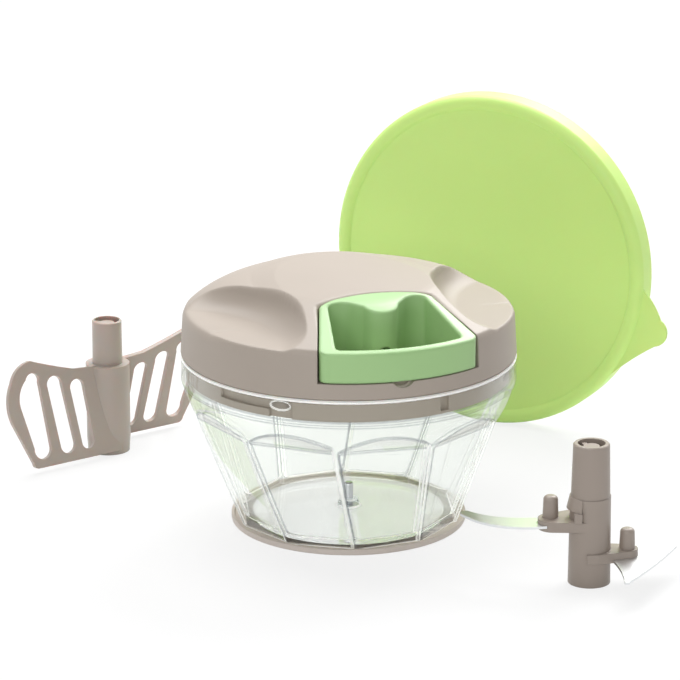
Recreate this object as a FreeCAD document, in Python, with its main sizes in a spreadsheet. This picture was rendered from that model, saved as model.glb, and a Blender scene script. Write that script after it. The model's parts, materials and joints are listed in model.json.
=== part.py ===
import FreeCAD
import Part
import Sketcher
import math
import os
import re

V = FreeCAD.Vector

# Pull-string food chopper: clear fluted bowl, drive lid with pull handle, cord reel and
# spring, blade unit, whipping paddle and storage lid. The origin is the centre of the bowl's
# foot on the table, +Z is up and the handle is pulled toward -Y. Lengths in millimetres.

doc = FreeCAD.newDocument("food_chopper")
sheet = doc.addObject("Spreadsheet::Sheet", "sizes")

SIZES = [
    ("cone_radius", 43.5, "outer radius of the bowl's cone at table height"),
    ("foot_edge", 3.0, "foot ring beyond the cone"),
    ("foot_radius", "=cone_radius + foot_edge", "outer radius of the foot ring"),
    ("foot_height", 4.0, "height of the foot ring"),
    ("foot_plate", 1.5, "thickness under the bowl"),
    ("foot_band", 8.5, "width of the foot ring"),
    ("foot_bore", "=foot_radius - foot_band", "radius of the opening in the foot ring"),
    ("cone_slope", 0.385, "radius gained per height"),
    ("bowl_wall", 2.2, "wall of the bowl"),
    ("floor_gauge", 3.2, "thickness of the bowl's floor"),
    ("floor_height", "=foot_plate + floor_gauge", "height of the bowl's inner floor"),
    ("collar_radius", 66.0, "outer radius of the bowl's collar"),
    ("collar_wall", 1.9, "wall of the collar"),
    ("collar_bore", "=collar_radius - collar_wall", "inner radius of the collar"),
    ("rim_height", 68.2, "height of the bowl's rim"),
    ("collar_height", 9.2, "height of the collar"),
    ("collar_start", "=rim_height - collar_height", "height where the collar begins"),
    ("flute_count", 10, "number of flutes"),
    ("flute_start", -16.5, "angle of the first step at the bottom"),
    ("flute_twist", -8.0, "turn of the steps at the top"),
    ("flute_step", 1.5, "depth of a step"),
    ("flute_swell", 0.5, "flute corners beyond the cone"),
    ("arch_height", 13.0, "height of the arches below the collar"),
    ("flute_top", "=collar_start - arch_height", "height where the arches begin"),
    ("flute_flare", 8.0, "flare of the flutes above the arches"),
    ("pin_radius", 1.85, "radius of the pivot pin"),
    ("boss_radius", 4.75, "radius of the pin boss at the floor"),
    ("boss_height", 2.9, "height of the pin boss"),
    ("pin_reach", 6.7, "height of the pin above its boss"),
    ("pin_top", "=floor_height + boss_height + pin_reach", "height of the pin's tip"),
    ("lug_angle", -43.4, "angle of the first bayonet lug"),
    ("lug_drop", 3.3, "depth of the bayonet lugs below the rim"),
    ("lug_height", "=rim_height - lug_drop", "height of the bayonet lugs"),
    ("lug_length", 4.3, "half length of a lug"),
    ("seal_height", 0.7, "thickness of the rim seal"),
    ("seal_gap", 0.05, "play above and below the rim seal"),
    ("lid_base", "=rim_height + seal_height + 2 * seal_gap", "housing's lower edge"),
    ("shell_height", 17.6, "height of the housing's wall"),
    ("lid_shoulder", "=lid_base + shell_height", "height where the housing's wall ends"),
    ("shell_draft", 1.05, "wall's lean from the lower edge to the shoulder"),
    ("lid_top_radius", "=collar_radius - shell_draft", "wall radius at the shoulder"),
    ("dome_height", 30.8, "height of the housing"),
    ("lid_top", "=lid_base + dome_height", "height of the lid's centre"),
    ("lid_wall", 2.2, "wall of the housing"),
    ("front_slope", 0.373, "slope of the conical front"),
    ("front_rise", 18.3, "conical front above the lower edge at the collar radius"),
    ("front_height", "=lid_base + front_rise", "height of the front at the collar radius"),
    ("dish_across", 88.6, "sideways place of a dish's axis"),
    ("dish_back", 25.5, "distance of a dish's axis toward the front"),
    ("dish_rise", 17.9, "dish floor above the lower edge"),
    ("dish_floor", "=lid_base + dish_rise", "height of the dish's floor"),
    ("dish_radius", 59.2, "radius of the dish's upper edge"),
    ("handle_rise", 7.0, "handle above the housing's lower edge"),
    ("handle_base", "=lid_base + handle_rise", "height of the handle's underside"),
    ("handle_half_front", 32.3, "half width of the handle at the front"),
    ("corner_setback", 8.4, "front corners of the handle behind the collar radius"),
    ("handle_corner", "=collar_radius - corner_setback", "distance of the front corners"),
    ("handle_half_back", 23.3, "half width at the back"),
    ("handle_back", 32.0, "distance where the sides end"),
    ("handle_rear", 25.0, "distance of the handle's back at the middle"),
    ("handle_gap", 0.5, "gap round the handle"),
    ("grip_wall", 3.4, "wall in front of the finger opening"),
    ("grip_front", "=collar_radius - grip_wall", "radius of the opening's front edge"),
    ("grip_bump", 42.2, "front of the bump between the fingers"),
    ("cord_radius", 0.65, "radius of the cord"),
    ("guide_bend", 22.4, "distance where the cord bends at the guide"),
    ("cover_drop", 0.4, "cover's plate below the housing's lower edge"),
    ("plate_base", "=lid_base - cover_drop", "underside of the lower cover's plate"),
    ("plate_height", 2.0, "thickness of the plate"),
    ("plate_gap", 0.3, "clearance between plate and coupler"),
    ("disc_height", 2.0, "thickness of the coupler's disc"),
    ("disc_base", "=plate_base + plate_height + plate_gap", "underside of the disc"),
    ("disc_gap", 0.2, "clearance between disc and ratchet ring"),
    ("ratchet_base", "=disc_base + disc_height + disc_gap", "lower face of the ratchet ring"),
    ("ratchet_height", 3.1, "height of the ratchet ring"),
    ("reel_web", "=ratchet_base + ratchet_height", "underside of the reel's web"),
    ("web_height", 2.0, "thickness of the reel's web"),
    ("groove_low", "=reel_web + web_height", "lower side of the cord groove"),
    ("cord_rise", 1.1, "cord's exit above the groove's lower side"),
    ("cord_height", "=groove_low + cord_rise", "height of the cord's exit"),
    ("groove_height", 8.0, "height of the cord groove"),
    ("groove_high", "=groove_low + groove_height", "upper side of the cord groove"),
    ("flange_height", 1.4, "thickness of the upper flange"),
    ("reel_top", "=groove_high + flange_height", "top of the upper flange"),
    ("core_radius", 17.0, "radius of the reel's core"),
    ("flange_radius", "=core_radius + 4", "radius of the reel's flanges"),
    ("wind_turns", 3.5, "turns of cord on the reel"),
    ("wind_pitch", 1.75, "rise of the cord per turn"),
    ("axle_radius", 2.5, "radius of the reel axle"),
    ("washer_drop", 1.2, "axle's lower end below the plate"),
    ("axle_low", "=plate_base - washer_drop", "lower end of the axle"),
    ("axle_cover", 3.0, "axle's upper end below the lid's centre"),
    ("axle_high", "=lid_top - axle_cover", "upper end of the axle"),
    ("running_gap", 0.06, "radial clearance on the axle"),
    ("spring_cover_gap", 0.3, "clearance between reel and spring cover"),
    ("spring_cover_gauge", 0.8, "thickness of the spring cover"),
    ("barrel_base", "=reel_top + spring_cover_gap + spring_cover_gauge",
     "lower edge of the spring barrel"),
    ("barrel_bore", 19.2, "inner radius of the spring barrel"),
    ("barrel_wall", 1.7, "wall of the spring barrel"),
    ("spring_turns", 7, "turns of the return spring"),
    ("spring_strip", 0.4, "thickness of the spring strip"),
    ("spring_width", 4.6, "width of the spring strip"),
    ("tooth_count", 12, "teeth of the ratchet ring"),
    ("tooth_turn", 42.3, "angle of the first tooth"),
    ("tooth_tip", "=core_radius - 0.2", "radius of the tooth tips"),
    ("tooth_depth", 2.6, "depth of the teeth"),
    ("tooth_root", "=tooth_tip + tooth_depth", "radius of the tooth roots"),
    ("skirt_gap", 0.3, "clearance between skirt and collar"),
    ("skirt_radius", "=collar_bore - skirt_gap", "outer radius of the lower cover's skirt"),
    ("skirt_depth", 8.8, "depth of the skirt below the plate"),
    ("skirt_low", "=plate_base - skirt_depth", "lower edge of the skirt"),
    ("slot_floor", "=skirt_radius - 1.3", "radius of the bayonet slots' floor"),
    ("lock_angle", 22.0, "turn between open and locked"),
    ("screw_circle", 50.0, "radius of the screw circle"),
    ("coupler_bore", 3.4, "inner radius of the drive tube"),
    ("coupler_wall", 1.6, "wall of the drive tube"),
    ("coupler_radius", "=coupler_bore + coupler_wall", "outer radius of the drive tube"),
    ("hub_height", 55.3, "height of the blade hub"),
    ("drive_grip", 10.9, "reach of the drive tube into the hub"),
    ("coupler_low", "=floor_height + boss_height + hub_height - drive_grip",
     "lower end of the drive tube"),
    ("socket_gap", 0.2, "clearance round the drive tube in the hubs"),
    ("socket_radius", "=coupler_radius + socket_gap", "radius of the hubs' drive sockets"),
    ("hub_step", 34.6, "height of the blade hub's step"),
    ("hub_radius", 8.1, "radius of the blade hub's lower tube"),
    ("hub_ledge", 0.3, "width of the blade hub's step"),
    ("hub_top_radius", 6.95, "radius of the blade hub's upper tube"),
    ("blade_gauge", 1.0, "thickness of the blades"),
    ("upper_blade_base", 23.5, "height of the upper blade"),
    ("lower_blade_base", 9.8, "height of the lower blade"),
    ("blade_reach", 48.6, "reach of the upper blade"),
    ("paddle_height", 56.5, "height of the paddle's hub"),
    ("paddle_step", 38.0, "height of the paddle hub's step"),
    ("paddle_radius", 9.1, "radius of the paddle's lower tube"),
    ("paddle_top_radius", 6.25, "radius of the paddle's upper tube"),
    ("wing_gauge", 2.0, "thickness of the wings"),
    ("wing_tilt", 11.6, "tilt of the wings"),
    ("wing_reach", 50.9, "reach of the wings"),
    ("cover_edge", 5.4, "storage lid beyond the bowl's collar"),
    ("cover_radius", "=collar_radius + cover_edge", "outer radius of the storage lid"),
    ("cover_depth", 9.0, "depth of the storage lid's rim"),
    ("bead_width", 6.1, "width of the storage lid's bead"),
    ("cover_face", "=cover_radius - bead_width", "radius where the storage lid's bead begins"),
    ("cover_fit", "=collar_radius + 0.3", "inner radius of the storage lid's skirt"),
    ("cover_gauge", 2.0, "thickness of the storage lid's panel"),
    ("blade_x", 61.3, "place of the blade unit"),
    ("blade_y", -100.2, "place of the blade unit"),
    ("blade_turn", -19.5, "turn of the blade unit"),
    ("paddle_x", -66.9, "place of the paddle"),
    ("paddle_y", 111.8, "place of the paddle"),
    ("paddle_turn", 17.0, "turn of the paddle"),
    ("cover_x", 95.5, "place of the storage lid's centre"),
    ("cover_y", 93.7, "place of the storage lid's centre"),
    ("cover_turn", -47.0, "turn of the storage lid"),
]
for row, (alias, value, note) in enumerate(SIZES, start=1):
    sheet.set("A%d" % row, note)
    sheet.set("B%d" % row, str(value))
    sheet.setAlias("B%d" % row, alias)
doc.recompute()

ALIAS = re.compile(r"\b(%s)\b" % "|".join(entry[0] for entry in SIZES))


def bound(expression):
    """Expression with every size name pointing at the sheet."""
    return ALIAS.sub(r"sizes.\1", str(expression))


def num(expression):
    """Present value of an expression."""
    value = sheet.evalExpression(bound(expression))
    return float(getattr(value, "Value", value))


def bind(thing, **properties):
    """Bind properties to expressions; a double underscore stands for a dot."""
    for name, expression in properties.items():
        path = name.replace("__", ".")
        thing.setExpression(path, bound(expression))


def arc_through(a, m, b):
    """Arc of a circle from a through m to b, and whether it runs clockwise."""
    circle = Part.Circle(a, m, b)
    centre = circle.Center
    first = math.atan2(a.y - centre.y, a.x - centre.x)
    last = math.atan2(b.y - centre.y, b.x - centre.x)
    clockwise = (m - a).cross(b - m).z < 0
    flat = Part.Circle(centre, V(0, 0, 1), circle.Radius)
    if clockwise:
        return Part.ArcOfCircle(flat, last, first), True
    return Part.ArcOfCircle(flat, first, last), False


def outline(name, points, plane="XY", height=0, host=None):
    """Closed sketch. (x, y) is reached by a line, (x, y, mx, my) by an arc through (mx, my)."""
    if host is None:
        sketch = doc.addObject("Sketcher::SketchObject", name)
    else:
        sketch = host.newObject("Sketcher::SketchObject", name)
    if plane == "XZ":
        sketch.Placement = FreeCAD.Placement(V(0, 0, 0), FreeCAD.Rotation(V(1, 0, 0), 90))
    if height != 0:
        bind(sketch, Placement__Base__z=height)
    corners = [V(num(p[0]), num(p[1]), 0) for p in points]
    geometry = []
    starts = []
    for index, point in enumerate(points):
        a = corners[index - 1]
        b = corners[index]
        if len(point) == 4:
            arc, clockwise = arc_through(a, V(num(point[2]), num(point[3]), 0), b)
            geometry.append(arc)
            starts.append(2 if clockwise else 1)
        else:
            geometry.append(Part.LineSegment(a, b))
            starts.append(1)
    sketch.addGeometry(geometry, False)
    count = len(points)
    rules = []
    values = {}
    for index, point in enumerate(points):
        end = 3 - starts[index]
        following = (index + 1) % count
        rules.append(Sketcher.Constraint("Coincident", index, end, following, starts[following]))
        for axis, place in (("DistanceX", 0), ("DistanceY", 1)):
            values[len(rules)] = point[place]
            rules.append(Sketcher.Constraint(axis, -1, 1, index, end, corners[index][place]))
        if len(point) == 4:
            middle = V(num(point[2]), num(point[3]), 0)
            mark = sketch.addGeometry(Part.Point(middle), True)
            for axis, place in (("DistanceX", 0), ("DistanceY", 1)):
                values[len(rules)] = point[2 + place]
                rules.append(Sketcher.Constraint(axis, -1, 1, mark, 1, middle[place]))
            rules.append(Sketcher.Constraint("PointOnObject", mark, 1, index))
    sketch.addConstraint(rules)
    for index, expression in values.items():
        if ALIAS.search(str(expression)):
            sketch.setExpression("Constraints[%d]" % index, bound(expression))
    return sketch


def turned(name, points, angle=360):
    """Profile of (radius, height) points turned about the Z axis in a body of its own."""
    body = doc.addObject("PartDesign::Body", name)
    sketch = outline(name + "_profile", points, "XZ", host=body)
    turn = body.newObject("PartDesign::Revolution", name + "_turn")
    turn.Profile = sketch
    turn.ReferenceAxis = (sketch, ["V_Axis"])
    turn.Angle = angle
    body.Tip = turn
    return body


def slab(name, points, base, thickness):
    """Outline in plan, raised from a base height in a body of its own."""
    body = doc.addObject("PartDesign::Body", name)
    sketch = outline(name + "_outline", points, "XY", base, host=body)
    pad = body.newObject("PartDesign::Pad", name + "_pad")
    pad.Profile = sketch
    bind(pad, Length=thickness)
    body.Tip = pad
    return body


def place(thing, x=0, y=0, z=0, turn=None):
    """Set the place by expressions and the direction by a rotation."""
    if turn is not None:
        thing.Placement = FreeCAD.Placement(V(0, 0, 0), turn)
    bind(thing, Placement__Base__x=x, Placement__Base__y=y, Placement__Base__z=z)
    return thing


def rod(name, radius, length, x=0, y=0, z=0, turn=None, angle=None):
    """Cylinder, upright unless turned."""
    thing = doc.addObject("Part::Cylinder", name)
    bind(thing, Radius=radius, Height=length)
    if angle is not None:
        bind(thing, Angle=angle)
    return place(thing, x, y, z, turn)


def taper(name, low, high, length, x=0, y=0, z=0, turn=None, angle=None):
    """Cone stump, upright unless turned."""
    thing = doc.addObject("Part::Cone", name)
    bind(thing, Radius1=low, Radius2=high, Height=length)
    if angle is not None:
        bind(thing, Angle=angle)
    return place(thing, x, y, z, turn)


def ball(name, radius, x=0, y=0, z=0):
    """Sphere round a point."""
    thing = doc.addObject("Part::Sphere", name)
    bind(thing, Radius=radius)
    return place(thing, x, y, z)


def block(name, length, width, height, x=0, y=0, z=0, turn=None):
    """Box from its lower corner."""
    thing = doc.addObject("Part::Box", name)
    bind(thing, Length=length, Width=width, Height=height)
    return place(thing, x, y, z, turn)


def fuse(name, things):
    """One solid out of several."""
    result = doc.addObject("Part::MultiFuse", name)
    result.Shapes = things
    result.Refine = True
    return result


def cut(name, base, *tools):
    """Base less the tools."""
    tool = tools[0] if len(tools) == 1 else fuse(name + "_tools", list(tools))
    result = doc.addObject("Part::Cut", name)
    result.Base = base
    result.Tool = tool
    result.Refine = True
    return result


def shared(name, first, second):
    """Space that both take up."""
    result = doc.addObject("Part::MultiCommon", name)
    result.Shapes = [first, second]
    result.Refine = True
    return result


def rounded(name, base, radius, pick):
    """Base with the picked edges rounded."""
    doc.recompute()
    size = num(radius)
    edges = [(i, size, size) for i, e in enumerate(base.Shape.Edges, start=1) if pick(e)]
    result = doc.addObject("Part::Fillet", name)
    result.Base = base
    result.Edges = edges
    return result


def turn_z(degrees):
    return FreeCAD.Rotation(V(0, 0, 1), degrees)


ALONG_MINUS_Y = FreeCAD.Rotation(V(1, 0, 0), 90)
nodes = {}


def polar(radius, angle):
    """Plan point at an angle measured from -Y toward +X."""
    return "(%s) * sin(%s)" % (radius, angle), "-(%s) * cos(%s)" % (radius, angle)


# Bowl: fluted cone with a plain collar. The flutes are flat panels in a ring whose radius
# falls from one step to the next; they run out in arches below the collar.

def flute_ring(name, height, radius, twist):
    """Ring of saw-like flutes at one height."""
    points = []
    pitch = 360.0 / int(num("flute_count"))
    for index in range(int(num("flute_count"))):
        start = "flute_start + %s + %g" % (twist, pitch * index)
        end = "flute_start + %s + %g - 0.8" % (twist, pitch * (index + 1))
        points.append(polar(radius, start))
        points.append(polar("%s - flute_step" % radius, end))
    return outline(name, points, height=height)


def fluted(name, less):
    """Solid between three flute rings."""
    low = flute_ring(name + "_low", 0.5, "cone_radius + flute_swell - %s" % less, "0")
    mid_radius = "cone_radius + cone_slope * flute_top + flute_swell - %s" % less
    middle = flute_ring(name + "_middle", "flute_top", mid_radius, "flute_twist")
    top_radius = "collar_radius + flute_swell + flute_flare - %s" % less
    top = flute_ring(name + "_top", "collar_start + 1", top_radius, "flute_twist * 1.2")
    loft = doc.addObject("Part::Loft", name)
    loft.Sections = [low, middle, top]
    loft.Solid = True
    loft.Ruled = True
    return loft


def bowl_blank(name, less, base, cone_end, top, radius, corner):
    """Plain turned form of the bowl's outside or inside."""
    cone = "cone_radius + cone_slope * (%s) - %s"
    return turned(name, [
        (0, base),
        (cone % (base, less) + " - %g" % corner, base),
        (cone % ("%s + %g" % (base, corner), less), "%s + %g" % (base, corner),
         cone % ("%s + %g" % (base, 0.3 * corner), less) + " - %g" % (0.3 * corner),
         "%s + %g" % (base, 0.3 * corner)),
        (cone % (cone_end, less), cone_end),
        (radius, "collar_start + %g" % (0 if corner < 1 else 0.5)),
        (radius, top),
        (0, top),
    ])


outer_blank = bowl_blank("bowl_outside", "0", "foot_plate", "collar_start - 1",
                         "rim_height", "collar_radius", 0.5)
inner_blank = bowl_blank("bowl_inside", "bowl_wall * 1.07", "floor_height", "collar_start - 1",
                         "rim_height + 1", "collar_bore", 1.8)
shoulder = turned("bowl_collar", [
    ("collar_bore - 4", "collar_start"),
    ("collar_radius", "collar_start"),
    ("collar_radius", "rim_height"),
    ("collar_bore - 4", "rim_height"),
])
inner_shoulder = turned("bowl_collar_bore", [
    (0, "collar_start + 0.5"),
    ("collar_bore", "collar_start + 0.5"),
    ("collar_bore", "rim_height + 1"),
    (0, "rim_height + 1"),
])
bowl_outer = fuse("bowl_outer", [
    shared("bowl_outer_cone", outer_blank, fluted("outer_flutes", "0")), shoulder])
bowl_inner = fuse("bowl_inner", [
    shared("bowl_inner_cone", inner_blank, fluted("inner_flutes", "bowl_wall * 1.09")),
    inner_shoulder])
boss = taper("pin_boss", "boss_radius", "boss_radius - 1.2", "boss_height + 1",
             z="floor_height - 1")
lugs = []
for index in range(3):
    angle = "lug_angle + %d" % (120 * index)
    x, y = polar("collar_bore + 0.2", angle)
    lug = doc.addObject("Part::Ellipsoid", "lug_%d" % index)
    bind(lug, Radius1=1.7, Radius2=1.4, Radius3="lug_length")
    lugs.append(place(lug, x, y, "lug_height", turn_z(num(angle) - 90)))
pin_bore = rod("pin_bore", "pin_radius", "floor_height + boss_height", z="foot_plate + 1")
bowl_shell = cut("bowl_shell", bowl_outer, bowl_inner)
nodes["bowl"] = cut("bowl_solid", fuse("bowl_parts", [bowl_shell, boss] + lugs), pin_bore)

# Foot ring: soft ring under the bowl with a shallow groove against slipping.
nodes["foot_ring"] = turned("foot_solid", [
    ("foot_bore", 0),
    ("foot_bore + 3", 0),
    ("foot_bore + 3", 0.5),
    ("foot_bore + 5", 0.5),
    ("foot_bore + 5", 0),
    ("foot_radius - 0.6", 0),
    ("foot_radius", 0.6, "foot_radius - 0.18", 0.18),
    ("foot_radius", "foot_height - 0.4"),
    ("foot_radius - 0.4", "foot_height"),
    ("foot_radius - 1.3", "foot_height"),
    ("foot_radius - 1.3", "foot_plate"),
    ("foot_bore", "foot_plate"),
])

# Pivot pin: steel pin moulded into the boss.
nodes["pivot_pin"] = turned("pin_solid", [
    (0, "foot_plate + 1"),
    ("pin_radius", "foot_plate + 1"),
    ("pin_radius", "pin_top - 0.8"),
    ("pin_radius - 0.8", "pin_top", "pin_radius - 0.24", "pin_top - 0.24"),
    (0, "pin_top"),
])

# Rim seal: flat soft ring between the rim and the housing.
nodes["lid_seal"] = turned("seal_solid", [
    ("collar_bore - 0.1", "rim_height + seal_gap"),
    ("collar_radius - 0.2", "rim_height + seal_gap"),
    ("collar_radius - 0.2", "rim_height + seal_gap + seal_height"),
    ("collar_bore - 0.1", "rim_height + seal_gap + seal_height"),
])


# Upper housing: dome with a conical front, two side dishes and the handle's pocket.

def dome(name, less, base, top):
    """Dome of the housing, or its hollow with a sharp shoulder when less is the wall."""
    shoulder = [("lid_top_radius - %s" % less, "lid_shoulder - 0.45 * %s" % less)]
    if less == "0":
        shoulder.append(("lid_top_radius - 0.65", "lid_shoulder + 1",
                         "lid_top_radius - 0.2", "lid_shoulder + 0.6"))
    return turned(name, [
        (0, base),
        ("collar_radius - 0.6 - %s" % less, base),
        ("collar_radius - %s" % less, "%s + 0.6" % base),
    ] + shoulder + [
        ("36 - 0.12 * %s" % less, "lid_top - 1.2 - %s" % less,
         "54 - 0.5 * %s" % less, "lid_top - 5.2 - 0.87 * %s" % less),
        (6, top, "20 - 0.05 * %s" % less, "lid_top - 0.42 - %s" % less),
        (0, top),
    ])


def above_front(name, drop):
    """Space above the conical front, lowered by a drop."""
    cone = "front_height + front_slope * (collar_radius - (%s)) - %s"
    return turned(name, [
        (0, "lid_top + 0.7 - %s" % drop),
        (31.75, "lid_top - 0.89 - %s" % drop),
        (38.72, cone % ("38.72", drop), 35.29, "lid_top - 1.34 - %s" % drop),
        (74, cone % ("74", drop)),
        (74, "lid_top + 15.2"),
        (0, "lid_top + 15.2"),
    ])


def dish(name, side, grow):
    """Turned space of a side dish, grown by a wall."""
    thing = turned(name, [
        (0, "dish_floor - %s" % grow),
        ("dish_radius - 9.5", "dish_floor - %s" % grow),
        ("dish_radius + %s" % grow, "dish_floor + 11",
         "dish_radius - 3.1 + 0.72 * %s" % grow, "dish_floor + 3 - 0.7 * %s" % grow),
        ("dish_radius + 1.2 + %s" % grow, "lid_top + 15.2"),
        (0, "lid_top + 15.2"),
    ])
    return place(thing, "%d * dish_across" % side, "-dish_back", 0)


def pocket(name, gap, front, base):
    """Plan outline round the handle, raised from a base height."""
    slope = "(handle_half_front - handle_half_back) / (handle_corner - handle_back)"
    half = "handle_half_front + (%s - handle_corner) * %s + 1.06 * (%s)" % (front, slope, gap)
    x_side = "handle_half_back + 0.94 * (%s)" % gap
    y_side = "-handle_back + 0.33 * (%s)" % gap
    x_mid = "handle_half_back - 0.7 + 0.75 * (%s)" % gap
    y_mid = "-handle_back + 1.6 + 0.66 * (%s)" % gap
    x_rear = "handle_half_back - 2.5 + 0.25 * (%s)" % gap
    y_rear = "-handle_back + 2.3 + 0.97 * (%s)" % gap
    return slab(name, [
        ("-(%s)" % half, "-(%s)" % front),
        (half, "-(%s)" % front),
        (x_side, y_side),
        (x_rear, y_rear, x_mid, y_mid),
        ("-(%s)" % x_rear, y_rear, 0, "-handle_rear + (%s)" % gap),
        ("-(%s)" % x_side, y_side, "-(%s)" % x_mid, y_mid),
    ], base, "lid_top + 15.2 - (%s)" % base)


front_box = block("front_half", 160, 80, 60, -80, -95, "lid_base - 9")
front_cut = shared("front_cut", above_front("above_front", "0"), front_box)
front_low = shared("front_low", above_front("below_front", "lid_wall * 1.07"), front_box)
outer_dome = dome("outer_dome", "0", "lid_base", "lid_top")
inner_dome = dome("inner_dome", "lid_wall", "lid_base - 1", "lid_top - lid_wall")
pocket_cut = pocket("pocket_cut", "handle_gap", "collar_radius + 9", "handle_base - 0.6")
pocket_wall = pocket("pocket_wall", "handle_gap + lid_wall * 0.8", "collar_radius + 9",
                     "handle_base - 0.6 - lid_wall")
notch_floor = block("notch_floor", 13, 10, 4, "-6.5 - 1.15", "-collar_radius",
                    "handle_base - 4.6")
ceiling_boss = rod("ceiling_boss", 6, 6, z="axle_high - 2.8")
barrel = cut("barrel", rod("barrel_outer", "barrel_bore + barrel_wall", 12, z="barrel_base"),
             rod("barrel_inner", "barrel_bore", 14, z="barrel_base - 1"))
SCREW_ANGLES = (180, 72, -72)
posts = []
pilots = []
for index, angle in enumerate(SCREW_ANGLES):
    x, y = polar("screw_circle", angle)
    posts.append(rod("post_%d" % index, 3.6, 30, x, y, "plate_base + plate_height"))
    pilots.append(rod("pilot_%d" % index, 1.4, 10.4, x, y, "plate_base + plate_height - 1"))
cavity = cut("cavity", inner_dome, front_low, dish("dish_low_left", -1, "lid_wall"),
             dish("dish_low_right", 1, "lid_wall"), pocket_wall, notch_floor, ceiling_boss,
             barrel, *posts)
notch = rod("notch", 5.25, 6, -1.15, "-collar_radius + 3.8", "handle_base - 0.6 + 3.15",
            ALONG_MINUS_Y)
axle_bore = rod("axle_bore", "axle_radius", 10, z="axle_high - 10")
guide_hole = rod("guide_hole", 2.0, 6, 0, "-handle_rear + 4.5", "cord_height", ALONG_MINUS_Y)
nodes["upper_housing"] = cut(
    "housing_solid", outer_dome, front_cut, dish("dish_left", -1, "0"),
    dish("dish_right", 1, "0"), cavity, pocket_cut, notch, axle_bore, guide_hole, *pilots)

# Lower cover: plate closing the housing and a skirt with bayonet slots inside the collar.
cover_profile = turned("cover_profile", [
    ("coupler_radius + 1.7", "plate_base"),
    ("skirt_radius - 2.4", "plate_base"),
    ("skirt_radius - 2.4", "skirt_low"),
    ("skirt_radius - 0.3", "skirt_low"),
    ("skirt_radius", "skirt_low + 0.3"),
    ("skirt_radius", "plate_base - 0.5"),
    ("skirt_radius - 0.5", "plate_base"),
    ("skirt_radius - 0.5", "plate_base + plate_height"),
    ("coupler_radius + 1.7", "plate_base + plate_height"),
])
slots = []
for index in range(3):
    middle = num("lug_angle") - 90 + 120 * index
    entry = rod("slot_entry_%d" % index, 66, "lug_height + 2 - skirt_low + 1", z="skirt_low - 1",
                turn=turn_z(middle - 4.2), angle=8.4)
    run = rod("slot_run_%d" % index, 66, 4, z="lug_height - 2",
              turn=turn_z(middle - 4.2 - num("lock_angle")), angle="lock_angle + 8.4")
    slots += [entry, run]
slots.append(rod("slot_mark", 66, 6, z="skirt_low + 1.2", turn=turn_z(13.9 - 90), angle=3.4))
slot_ring = cut("slot_ring", fuse("slot_sectors", slots),
                rod("slot_core", "slot_floor", 30, z="skirt_low - 10"))
screw_holes = []
for index, angle in enumerate(SCREW_ANGLES):
    x, y = polar("screw_circle", angle)
    screw_holes.append(rod("screw_hole_%d" % index, 1.6, 6, x, y, "plate_base - 2"))
nodes["lower_cover"] = cut("cover_solid", cover_profile, slot_ring, *screw_holes)

# Cover screws: pan heads under the plate, shanks in the housing's posts.
screws = []
for index, angle in enumerate(SCREW_ANGLES):
    x, y = polar("screw_circle", angle)
    head = rod("screw_head_%d" % index, 2.9, 1.6, x, y, "plate_base - 1.6")
    shank = rod("screw_shank_%d" % index, 1.4, 10, x, y, "plate_base")
    cross = fuse("screw_cross_%d" % index, [
        block("cross_a_%d" % index, 3.2, 0.7, 0.9, x + " - 1.6", y + " - 0.35",
              "plate_base - 1.7"),
        block("cross_b_%d" % index, 0.7, 3.2, 0.9, x + " - 0.35", y + " - 1.6",
              "plate_base - 1.7")])
    screws.append(cut("screw_solid_%d" % index, fuse("screw_%d" % index, [head, shank]), cross))
nodes["cover_screws"] = doc.addObject("Part::Compound", "screw_group")
nodes["cover_screws"].Links = screws

# Reel axle with its screw and washer, which hold the drive coupler from below.
axle_shape = turned("axle_blank", [
    (0, "axle_low"),
    ("axle_radius - 0.3", "axle_low"),
    ("axle_radius", "axle_low + 0.3"),
    ("axle_radius", "axle_high"),
    (0, "axle_high"),
])
nodes["reel_axle"] = cut("axle_solid", axle_shape, rod("axle_thread", 1.2, 8, z="axle_low - 0.5"))
nodes["retaining_washer"] = cut(
    "washer_solid", rod("washer_disc", 3.2, 0.6, z="axle_low - 0.6"),
    rod("washer_bore", 1.3, 2, z="axle_low - 1.5"))
nodes["retaining_screw"] = cut(
    "axle_screw_solid",
    fuse("axle_screw", [rod("axle_screw_head", 2.6, 1.6, z="axle_low - 2.2"),
                        rod("axle_screw_shank", 1.2, 8.1, z="axle_low - 0.6")]),
    block("axle_screw_slot", 4.4, 0.7, 0.8, -2.2, -0.35, "axle_low - 2.3"))

# Cord guide: eyelet in the pocket's back wall, flared toward the reel.
guide = turned("guide_solid", [
    (2.4, 0),
    (3.3, 0),
    (3.3, 0.7),
    (2.0, 0.7),
    (2.0, 2.9),
    (1.3, 2.9),
    (1.3, 1.6),
])
nodes["cord_guide"] = place(guide, 0, "-(handle_rear - handle_gap - lid_wall) + 0.7",
                            "cord_height", ALONG_MINUS_Y)

# Spring cover and the spiral return spring in the barrel.
nodes["spring_cover"] = turned("spring_cover_solid", [
    (5.2, "reel_top + spring_cover_gap"),
    ("barrel_bore + barrel_wall", "reel_top + spring_cover_gap"),
    ("barrel_bore + barrel_wall", "barrel_base"),
    (5.2, "barrel_base"),
])


def spiral_edges(inner, outer, turns, offset):
    """Half circles of growing radius, as arcs in plan."""
    step = (outer - inner) / (2.0 * turns)
    arcs = []
    x = inner
    for index in range(2 * int(turns)):
        sign = 1 if index % 2 == 0 else -1
        radius = inner + step * (index + 0.5)
        centre = sign * (x - radius)
        first = V(centre + sign * (radius + offset), 0, 0)
        top = V(centre, sign * (radius + offset), 0)
        last = V(centre - sign * (radius + offset), 0, 0)
        arcs.append(Part.Arc(first, top, last).toShape())
        x = abs(centre - sign * radius)
    return arcs


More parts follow.
